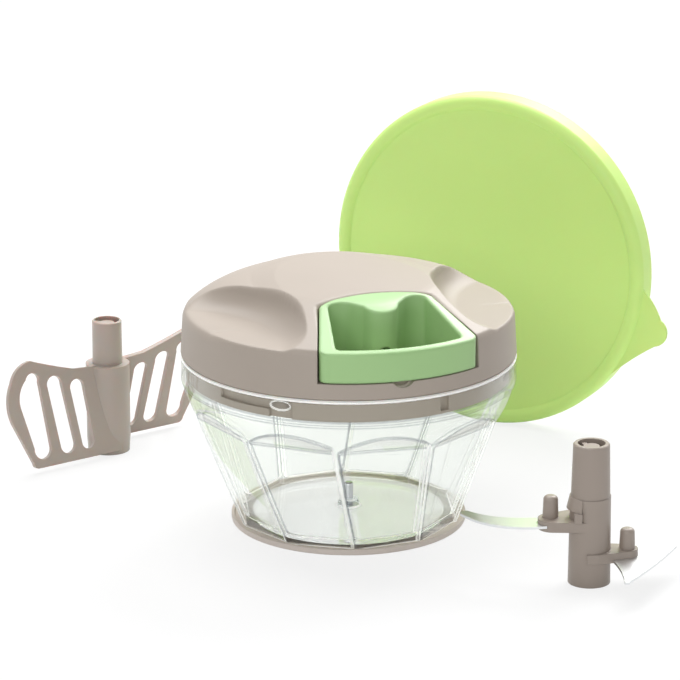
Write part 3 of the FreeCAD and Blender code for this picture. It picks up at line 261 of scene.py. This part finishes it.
def moulded(name, colour, roughness, coat=0.0, grain_mm=0.6, grain_depth=0.02, edge_mm=0.5,
            cloud_mm=18, cloud=0.03, inner=0.0, sheen=0.0):
    """Moulded plastic: a faint cloudiness of the pigment, a fine grain and soft edges."""
    material, tree, output = fresh(name)
    where = node(tree, "ShaderNodeTexCoord")
    mottle = node(tree, "ShaderNodeTexNoise", {"Vector": where.outputs["Object"],
                                               "Scale": 1000 / cloud_mm, "Detail": 3.0})
    tone = node(tree, "ShaderNodeMix", {0: mottle.outputs["Fac"]}, data_type="RGBA")
    base = linear(colour)
    tone.inputs["A"].default_value = [c * (1 - cloud) for c in base[:3]] + [1]
    tone.inputs["B"].default_value = [min(1, c * (1 + cloud)) for c in base[:3]] + [1]
    grain = node(tree, "ShaderNodeTexNoise", {"Vector": where.outputs["Object"],
                                              "Scale": 1000 / grain_mm, "Detail": 2.0})
    rounded = node(tree, "ShaderNodeBevel", {"Radius": edge_mm / 1000}, samples=4)
    bump = node(tree, "ShaderNodeBump", {"Height": grain.outputs["Fac"], "Strength": 0.25,
                                         "Distance": grain_depth / 1000,
                                         "Normal": rounded.outputs[0]})
    rub = node(tree, "ShaderNodeMapRange", {"Value": mottle.outputs["Fac"],
                                            "To Min": roughness - 0.03,
                                            "To Max": roughness + 0.03})
    skin = node(tree, "ShaderNodeBsdfPrincipled", {
        "Base Color": tone.outputs["Result"], "Roughness": rub.outputs[0], "IOR": 1.5,
        "Coat Weight": coat, "Coat Roughness": 0.15, "Sheen Weight": sheen,
        "Subsurface Weight": inner, "Subsurface Scale": 0.003,
        "Normal": bump.outputs["Normal"]})
    tree.links.new(skin.outputs[0], output.inputs["Surface"])
    return material


def alone(thing):
    """Make a thing the only selected and active one."""
    bpy.ops.object.select_all(action="DESELECT")
    thing.select_set(True)
    bpy.context.view_layer.objects.active = thing


def face_outward():
    """Turn all faces of the mesh in edit mode outward, and leave edit mode."""
    bpy.ops.mesh.select_all(action="SELECT")
    bpy.ops.mesh.normals_make_consistent(inside=False)
    bpy.ops.object.mode_set(mode="OBJECT")


def cad_copy(node_name, piece_name):
    """A merged copy of a frame node as a new piece, on its own."""
    alone(frame["nodes"][node_name])
    bpy.ops.object.duplicate()
    copy = bpy.context.object
    copy.name = piece_name
    bpy.ops.object.parent_clear(type="CLEAR_KEEP_TRANSFORM")
    for key in [key for key in copy.keys() if key.startswith("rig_")]:
        del copy[key]
    copy.data.materials.clear()
    bpy.ops.object.mode_set(mode="EDIT")
    bpy.ops.mesh.select_all(action="SELECT")
    bpy.ops.mesh.remove_doubles(threshold=2e-6)
    bpy.ops.mesh.normals_make_consistent(inside=False)
    bpy.ops.mesh.customdata_custom_splitnormals_clear()
    bpy.ops.object.mode_set(mode="OBJECT")
    return copy


def coat_whole(piece, material, crease):
    """Smooth a piece up to a crease angle in degrees, and give all of it one material."""
    alone(piece)
    bpy.ops.object.shade_smooth_by_angle(angle=math.radians(crease))
    piece.data.materials.clear()
    piece.data.materials.append(material)
    piece.data.polygons.foreach_set("material_index", [0] * len(piece.data.polygons))


foot = cad_copy("foot_ring", "foot_band")
bpy.ops.object.mode_set(mode="EDIT")
bpy.ops.mesh.select_all(action="SELECT")
bpy.ops.mesh.bisect(plane_co=(0, 0, BAND_HEIGHT), plane_no=(0, 0, 1), use_fill=True,
                    clear_outer=True)
face_outward()
coat_whole(foot, moulded("taupe elastomer", "DFD4CB", 0.6, grain_mm=0.4, grain_depth=0.03,
                         sheen=0.1), 35)
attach(foot, "bowl")
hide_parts("foot_ring")

# Pivot pin, cover screws, reel axle, washer and its screw: steel turned on a lathe, pressed or
# screwed into the plastic. The tool's marks leave it slightly uneven, with a soft gleam.

TOOL_MARK_MM = 0.5
turned_steel, tree, output = fresh("turned steel")
where = node(tree, "ShaderNodeTexCoord")
marks = node(tree, "ShaderNodeTexNoise", {"Vector": where.outputs["Object"],
                                          "Scale": 1000 / TOOL_MARK_MM, "Detail": 2.0})
uneven = node(tree, "ShaderNodeBump", {"Height": marks.outputs["Fac"], "Strength": 0.2,
                                       "Distance": 0.00002})
tint = node(tree, "ShaderNodeMix", {0: marks.outputs["Fac"]}, data_type="RGBA")
tint.inputs["A"].default_value = linear("BFC1C4")
tint.inputs["B"].default_value = linear("D0D2D5")
skin = node(tree, "ShaderNodeBsdfPrincipled", {
    "Base Color": tint.outputs["Result"], "Metallic": 1.0, "Roughness": 0.25,
    "Normal": uneven.outputs["Normal"]})
tree.links.new(skin.outputs[0], output.inputs["Surface"])
for name in ("pivot_pin", "cover_screws", "reel_axle", "retaining_washer",
             "retaining_screw"):
    dress(name, turned_steel)

# Lid seal: a soft ring of milky silicone, laid between the bowl's rim and the drive lid. From
# outside it is a thin whitish line.

dress("lid_seal", moulded("milky silicone", "E4E1DC", 0.45, inner=0.2))

# Reel, coupler, spring cover and cord guide: natural nylon, injection moulded, on which steel
# and cord slide easily. It is an even off-white and hardly shines.

nylon = moulded("natural nylon", "E2E0D8", 0.45, edge_mm=0.3)
for name in ("cord_reel", "drive_coupler", "spring_cover", "cord_guide"):
    dress(name, nylon)

# Pawls: grey acetal, injection moulded, each on its own pin of the coupler. Their skin has a
# waxy, even look.

acetal = moulded("grey acetal", "6E7074", 0.4, edge_mm=0.3)
for name in ("pawl_left", "pawl_right"):
    dress(name, acetal)

# Return spring: rolled and blued steel strip, wound in its barrel above the drum. The blue is
# a little lighter and darker from place to place.

STREAK_MM = 1.2
rolled, tree, output = fresh("spring strip")
where = node(tree, "ShaderNodeTexCoord")
streak = node(tree, "ShaderNodeTexNoise", {"Vector": where.outputs["Object"],
                                           "Scale": 1000 / STREAK_MM, "Detail": 3.0})
tint = node(tree, "ShaderNodeMix", {0: streak.outputs["Fac"]}, data_type="RGBA")
tint.inputs["A"].default_value = linear("6E7484")
tint.inputs["B"].default_value = linear("8A8E98")
skin = node(tree, "ShaderNodeBsdfPrincipled", {
    "Base Color": tint.outputs["Result"], "Metallic": 1.0, "Roughness": 0.32})
tree.links.new(skin.outputs[0], output.inputs["Surface"])
dress("power_spring", rolled)

# Housing of the drive lid: a taupe ABS shell, injection moulded and satin, screwed to the
# cover below. The rims of its dishes and of the handle's pocket are softly rounded, so a
# smooth sheet is laid over the solid, and what stands above the sheet is taken off.

LID_TOP = 0.0998
SHOULDER = 0.0866
FRONT_EDGE = 0.0873
FRONT_SLOPE = 0.373
FRONT_RUN = 0.02728
FRONT_END = 0.015
FRONT_RISE = 0.8
RIDGE_HALF = (0.0303, 0.0505)
RIDGE_BACK = 0.012
RIDGE_DROP = 0.0017
RIDGE_FALL = 0.16 * 0.038
RIDGE_START = 0.028
RIDGE_FADE = 0.012
DISH_FLOOR = 0.0868
DISH_AXIS = (0.0886, 0.0255)
RIM_BLEND = 0.005
RIM_END = 0.0655
RIM_FADE = 0.012
POCKET_LIP = 0.0019
SKIN_CUT = 0.00009
SHEET_SIZE = 0.136
SHEET_CELLS = 272
SHEET_DROP = 0.045
SHEET_FOOT = 0.03


def arc(a, via, b, count=24):
    """Points on the arc from a through via to b."""
    (x1, y1), (x2, y2), (x3, y3) = a, via, b
    rows = np.array([[x2 - x1, y2 - y1], [x3 - x1, y3 - y1]])
    sums = 0.5 * np.array([x2 ** 2 - x1 ** 2 + y2 ** 2 - y1 ** 2,
                           x3 ** 2 - x1 ** 2 + y3 ** 2 - y1 ** 2])
    cx, cy = np.linalg.solve(rows, sums)
    turns = np.linspace(math.atan2(y1 - cy, x1 - cx), math.atan2(y3 - cy, x3 - cx), count)
    reach = math.hypot(x1 - cx, y1 - cy)
    return [(cx + reach * math.cos(t), cy + reach * math.sin(t)) for t in turns]


def dome_height(x, y):
    """Height of the dome, with its conical front and the low ridge at its back."""
    away = np.hypot(x, y)
    crown = sorted(arc((0.0643, SHOULDER + 0.001), (0.054, LID_TOP - 0.0052),
                       (0.036, LID_TOP - 0.0012))
                   + arc((0.0359, LID_TOP - 0.001195), (0.020, LID_TOP - 0.00042),
                         (0.006, LID_TOP)))
    crown += [(0.0650, SHOULDER - 0.0008), (0.0662, SHOULDER - 0.0055)]
    front = [(0, LID_TOP + 0.0007), (0.03175, LID_TOP - 0.00089), (0.03529, LID_TOP - 0.00134),
             (0.03872, FRONT_EDGE + FRONT_SLOPE * FRONT_RUN), (0.066, FRONT_EDGE),
             (0.074, FRONT_EDGE - 0.003)]
    cone = np.interp(away, *zip(*front)) + np.maximum(0, y + FRONT_END) * FRONT_RISE
    z = np.minimum(np.interp(away, *zip(*crown)), cone)
    oval = np.hypot(x / RIDGE_HALF[0], (y + RIDGE_BACK) / RIDGE_HALF[1]) - 1
    behind = np.clip((y + RIDGE_START) / RIDGE_FADE, 0, 1)
    return z - behind * np.clip(RIDGE_FALL * oval, 0, RIDGE_DROP)


def pocket_distance(x, y):
    """Distance to the outline of the handle's pocket."""
    outline = [(-0.0335, -0.068), (0.0335, -0.068), (0.0238, -0.0318), (0.0231, -0.0301)]
    outline += arc((0.0209, -0.0292), (0, -0.0245), (-0.0209, -0.0292))
    outline += [(-0.0231, -0.0301), (-0.0238, -0.0318)]
    near = np.full(x.shape, 1.0)
    for index, (bx, by) in enumerate(outline):
        ax, ay = outline[index - 1]
        along = np.clip(((x - ax) * (bx - ax) + (y - ay) * (by - ay))
                        / ((bx - ax) ** 2 + (by - ay) ** 2), 0, 1)
        near = np.minimum(near, np.hypot(x - ax - along * (bx - ax),
                                         y - ay - along * (by - ay)))
    return near


def skin_height(x, y):
    """Height of the housing's skin, with rounded rims round the dishes and the pocket."""
    z = dome_height(x, y)
    wall = sorted(arc((0.0497, DISH_FLOOR), (0.0561, DISH_FLOOR + 0.003),
                      (0.0592, DISH_FLOOR + 0.011)))
    wall = [(0, DISH_FLOOR)] + wall + [(0.0620, DISH_FLOOR + 0.0251), (0.2, 0.5)]
    soft = RIM_BLEND * np.clip((RIM_END - np.hypot(x, y)) / RIM_FADE, 0.1, 1)
    for side in (-1, 1):
        reach = np.hypot(x - side * DISH_AXIS[0], y + DISH_AXIS[1])
        dish = np.interp(reach, *zip(*wall))
        blend = np.clip(soft - np.abs(z - dish), 0, soft)
        z = np.minimum(z, dish) - blend ** 2 / (4 * soft)
    inside = np.clip(POCKET_LIP - pocket_distance(x, y), 0, POCKET_LIP)
    return z - (POCKET_LIP - np.sqrt(POCKET_LIP ** 2 - inside ** 2)) - SKIN_CUT


def carve(piece, tool, operation):
    """Cut a piece with a closed tool, or keep what lies in it, and use the tool up."""
    alone(piece)
    step = piece.modifiers.new("carve", "BOOLEAN")
    step.operation = operation
    step.solver = "MANIFOLD"
    step.object = tool
    bpy.ops.object.modifier_apply(modifier=step.name)
    bpy.data.objects.remove(tool)


bpy.ops.object.select_all(action="DESELECT")
bpy.ops.mesh.primitive_grid_add(x_subdivisions=SHEET_CELLS, y_subdivisions=SHEET_CELLS,
                                size=SHEET_SIZE)
sheet = bpy.context.object
sheet.name = "housing_skin"
places = np.empty(len(sheet.data.vertices) * 3)
sheet.data.vertices.foreach_get("co", places)
places = places.reshape(-1, 3)
places[:, 2] = skin_height(places[:, 0], places[:, 1])
sheet.data.vertices.foreach_set("co", places.ravel())
sheet.data.update()
bpy.ops.object.mode_set(mode="EDIT")
bpy.ops.mesh.select_mode(type="EDGE")
bpy.ops.mesh.select_all(action="DESELECT")
bpy.ops.mesh.select_non_manifold()
bpy.ops.mesh.extrude_region_move(TRANSFORM_OT_translate={"value": (0, 0, -SHEET_DROP)})
bpy.ops.transform.resize(value=(1, 1, 0), orient_type="GLOBAL",
                         center_override=(0, 0, SHEET_FOOT))
bpy.ops.mesh.edge_face_add()
face_outward()

housing = cad_copy("upper_housing", "housing_shell")
carve(housing, sheet, "INTERSECT")
taupe = moulded("taupe ABS", "A59A8F", 0.48, edge_mm=0.6)
coat_whole(housing, taupe, 38)
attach(housing, "drive_lid")
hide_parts("upper_housing")

# Cover of the drive lid: the plate and skirt below the housing, moulded from the same taupe
# ABS and held by three screws. It is seen through the bowl's clear collar.

dress("lower_cover", taupe)

# Pull handle: pale green ABS, injection moulded and satin, a little brighter along its edges,
# seated in the housing's pocket. Its two front corners are rounded: a block less a cylinder is
# taken off each of them.

CORNER_ROUND = 0.004
CORNER_AXIS = (0.027367, -0.055634)
BLOCK_MIDDLE = (0.03247, -0.05808)
CORNER_LEVEL = 0.085
BLOCK_STRETCH = 5
ROD_LENGTH = 0.06
ROD_SIDES = 96
SIDE_TURN = math.radians(19.37)

handle = cad_copy("pull_handle", "handle_grip")
for side in (-1, 1):
    bpy.ops.object.select_all(action="DESELECT")
    bpy.ops.mesh.primitive_cube_add(
        size=2 * CORNER_ROUND, rotation=(0, 0, side * SIDE_TURN),
        location=(side * BLOCK_MIDDLE[0], BLOCK_MIDDLE[1], CORNER_LEVEL))
    block = bpy.context.object
    block.scale.z = BLOCK_STRETCH
    bpy.ops.object.transform_apply(location=True, rotation=True, scale=True)
    bpy.ops.mesh.primitive_cylinder_add(
        vertices=ROD_SIDES, radius=CORNER_ROUND, depth=ROD_LENGTH,
        location=(side * CORNER_AXIS[0], CORNER_AXIS[1], CORNER_LEVEL))
    carve(block, bpy.context.object, "DIFFERENCE")
    carve(handle, block, "DIFFERENCE")
coat_whole(handle, moulded("pale green ABS", "9DC385", 0.42, coat=0.1, edge_mm=1.6), 35)
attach(handle, "handle")
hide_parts("pull_handle")

# Pull cord: 1.3 mm braided white nylon, eight strands plaited round a core, which gives it a
# dull, slightly fuzzy look. The turns lie on the drum, the run goes through the guide to the
# handle, and a knot holds it there.

WIND = 0.0177
GUIDE_REACH = 0.0224
SEAT_REACH = 0.0386
CORD_Z = 0.0793
TURNS = 3.5
TURN_RISE = 0.00175
COIL_SWELL = 1.013
COIL_STEPS = 56
KNOT_REACH = 0.0398
KNOT_SIZE = 0.00052
KNOT_WAVE = 0.0008
KNOT_STEPS = 24
FIBRE_MM = 0.25
LEAVE = math.acos(WIND / GUIDE_REACH)

braid, tree, output = fresh("braided nylon")
where = node(tree, "ShaderNodeTexCoord")
fibre = node(tree, "ShaderNodeTexNoise", {"Vector": where.outputs["Object"],
                                          "Scale": 1000 / FIBRE_MM, "Detail": 4.0})
tint = node(tree, "ShaderNodeMix", {0: fibre.outputs["Fac"]}, data_type="RGBA")
tint.inputs["A"].default_value = linear("D8D6CF")
tint.inputs["B"].default_value = linear("F2F0EA")
fuzz = node(tree, "ShaderNodeBump", {"Height": fibre.outputs["Fac"], "Strength": 0.4,
                                     "Distance": 0.00004})
skin = node(tree, "ShaderNodeBsdfPrincipled", {
    "Base Color": tint.outputs["Result"], "Roughness": 0.75, "Sheen Weight": 0.3,
    "Normal": fuzz.outputs["Normal"]})
tree.links.new(skin.outputs[0], output.inputs["Surface"])


def smooth_line(name, route, closed):
    """Points on a smooth curve along the route."""
    curve = bpy.data.curves.new(name + "_line", "CURVE")
    curve.dimensions = "3D"
    spline = curve.splines.new("NURBS")
    spline.points.add(len(route) - 1)
    for point, place in zip(spline.points, route):
        point.co = (*place, 1)
    spline.use_endpoint_u = not closed
    spline.use_cyclic_u = closed
    spline.order_u = 3
    spline.resolution_u = 8
    line = bpy.data.objects.new(name + "_line", curve)
    bpy.context.scene.collection.objects.link(line)
    read = bpy.data.meshes.new_from_object(line)
    points = np.array([v.co for v in read.vertices])
    bpy.data.objects.remove(line)
    bpy.data.meshes.remove(read)
    return np.vstack([points, points[:1]]) if closed else points


def plaited(name, route, closed=False, radius=0.00065, plait=0.0042):
    """Cord of eight strands round a smooth line; a strand goes round once in each plait."""
    strands = 8
    sides = 5
    rings_per_plait = 14
    strand = radius * 0.36
    thick = strand * 0.8
    wide = strand * 1.3
    weave = 0.00005
    centre = smooth_line(name, route, closed)
    steps = np.linalg.norm(np.diff(centre, axis=0), axis=1)
    run = np.concatenate([[0], np.cumsum(steps)])
    rings = max(8, int(run[-1] / plait * rings_per_plait))
    at = np.linspace(0, run[-1], rings)
    centre = np.stack([np.interp(at, run, centre[:, i]) for i in range(3)], 1)
    ahead = np.gradient(centre, axis=0)
    ahead /= np.linalg.norm(ahead, axis=1)[:, None]
    side = np.zeros_like(ahead)
    side[0] = np.cross(ahead[0], [0.1, 0.2, 1.0])
    for i in range(rings):
        last = side[i - 1] if i else side[0]
        side[i] = last - ahead[i] * last.dot(ahead[i])
        side[i] /= np.linalg.norm(side[i])
    over = np.cross(ahead, side)
    points = []
    faces = []
    for k in range(strands):
        hand = 1 if k % 2 else -1
        turn = hand * 2 * math.pi * at / plait + math.pi / 2 * (k // 2) + (k % 2) * 0.4
        crossing = np.cos(4 * at * 2 * math.pi / plait + math.pi * (k % 2))
        lift = radius - strand - weave + weave * crossing
        out = np.cos(turn)[:, None] * side + np.sin(turn)[:, None] * over
        middle = centre + out * lift[:, None]
        across = np.cross(ahead, out)
        base = len(points)
        for i in range(rings):
            for j in range(sides):
                t = 2 * math.pi * j / sides
                points.append(middle[i] + out[i] * math.cos(t) * thick
                              + across[i] * math.sin(t) * wide)
        for i in range(rings - 1):
            for j in range(sides):
                a = base + i * sides + j
                b = base + i * sides + (j + 1) % sides
                faces.append((a, b, b + sides, a + sides))
        faces.append(tuple(base + j for j in reversed(range(sides))))
        faces.append(tuple(base + (rings - 1) * sides + j for j in range(sides)))
    mesh = bpy.data.meshes.new(name)
    mesh.from_pydata(points, [], faces)
    piece = bpy.data.objects.new(name, mesh)
    bpy.context.scene.collection.objects.link(piece)
    alone(piece)
    bpy.ops.object.mode_set(mode="EDIT")
    face_outward()
    bpy.ops.object.shade_smooth()
    piece.data.materials.append(braid)
    return piece


# The smooth line runs inside its route on a bend, so the coil's points lie further out.
coil = []
for step in range(COIL_STEPS + 1):
    wound = TURNS * step / COIL_STEPS
    angle = LEAVE - math.pi / 2 + 2 * math.pi * wound
    coil.append((WIND * COIL_SWELL * math.cos(angle), WIND * COIL_SWELL * math.sin(angle),
                 CORD_Z + TURN_RISE * wound))
winding = plaited("cord_turns", coil)
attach(winding, "reel")
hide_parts("cord_winding")

start = (WIND * math.sin(LEAVE), -WIND * math.cos(LEAVE), CORD_Z)
pulled = plaited("cord_line", [start, (start[0] * 0.6, -0.0160, CORD_Z),
                               (0.0006, -0.0215, CORD_Z), (0, -0.0234, CORD_Z),
                               (0, -0.0300, CORD_Z), (0, -SEAT_REACH, CORD_Z)])
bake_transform(pulled)
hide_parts("cord_run")

loops = []
for step in range(KNOT_STEPS):
    t = 2 * math.pi * step / KNOT_STEPS
    loops.append(((math.sin(t) + 2 * math.sin(2 * t)) * KNOT_SIZE,
                  -KNOT_REACH + math.sin(3 * t) * KNOT_WAVE,
                  CORD_Z + (math.cos(t) - 2 * math.cos(2 * t)) * KNOT_SIZE))
knot = plaited("cord_stopper", loops, closed=True, radius=0.0006, plait=0.0036)
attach(knot, "handle")
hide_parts("cord_knot")

# Hub of the blade unit: darker taupe ABS, injection moulded round the two blades. It is satin,
# with soft mould edges.

dress("blade_hub", moulded("dark taupe ABS", "988C82", 0.38, edge_mm=0.5))

# Blades: ground and polished stainless strip, 1 mm thick, moulded into the hub's arms. They
# mirror the white room and the green lid softly, with faint grinding lines at a slant.

LINES_PER_METRE = (60, 1800, 1800)
bright, tree, output = fresh("polished blade steel")
where = node(tree, "ShaderNodeTexCoord")
run = node(tree, "ShaderNodeMapping", {"Vector": where.outputs["Object"],
                                       "Scale": LINES_PER_METRE})
scratch = node(tree, "ShaderNodeTexNoise", {"Vector": run.outputs[0], "Scale": 1.0,
                                            "Detail": 2.0})
lines = node(tree, "ShaderNodeBump", {"Height": scratch.outputs["Fac"], "Strength": 0.15,
                                      "Distance": 0.00001})
skin = node(tree, "ShaderNodeBsdfPrincipled", {
    "Base Color": linear("E2E4E5"), "Metallic": 1.0, "Roughness": 0.3,
    "Normal": lines.outputs["Normal"]})
tree.links.new(skin.outputs[0], output.inputs["Surface"])
dress("upper_blade", bright)
dress("lower_blade", bright)

# Paddle: lighter taupe ABS in one moulding, which stands by itself. Its wings let a little
# light through, and the skin is slightly glossy.

dress("paddle", moulded("light taupe ABS", "A99D93", 0.36, edge_mm=0.5, coat=0.2, inner=0.3))

# Storage lid: soft lime polythene, injection moulded, snapped over the bowl's rim when in use.
# It lets a little light in and has a fine matte skin.

dress("storage_lid", moulded("lime polythene", "CBEE86", 0.46, grain_mm=0.5, grain_depth=0.03,
                             edge_mm=0.8, inner=0.15, cloud_mm=40, cloud=0.02))

# Last, the frame's nodes are left unselected.

for thing in frame["nodes"].values():
    thing.select_set(False)
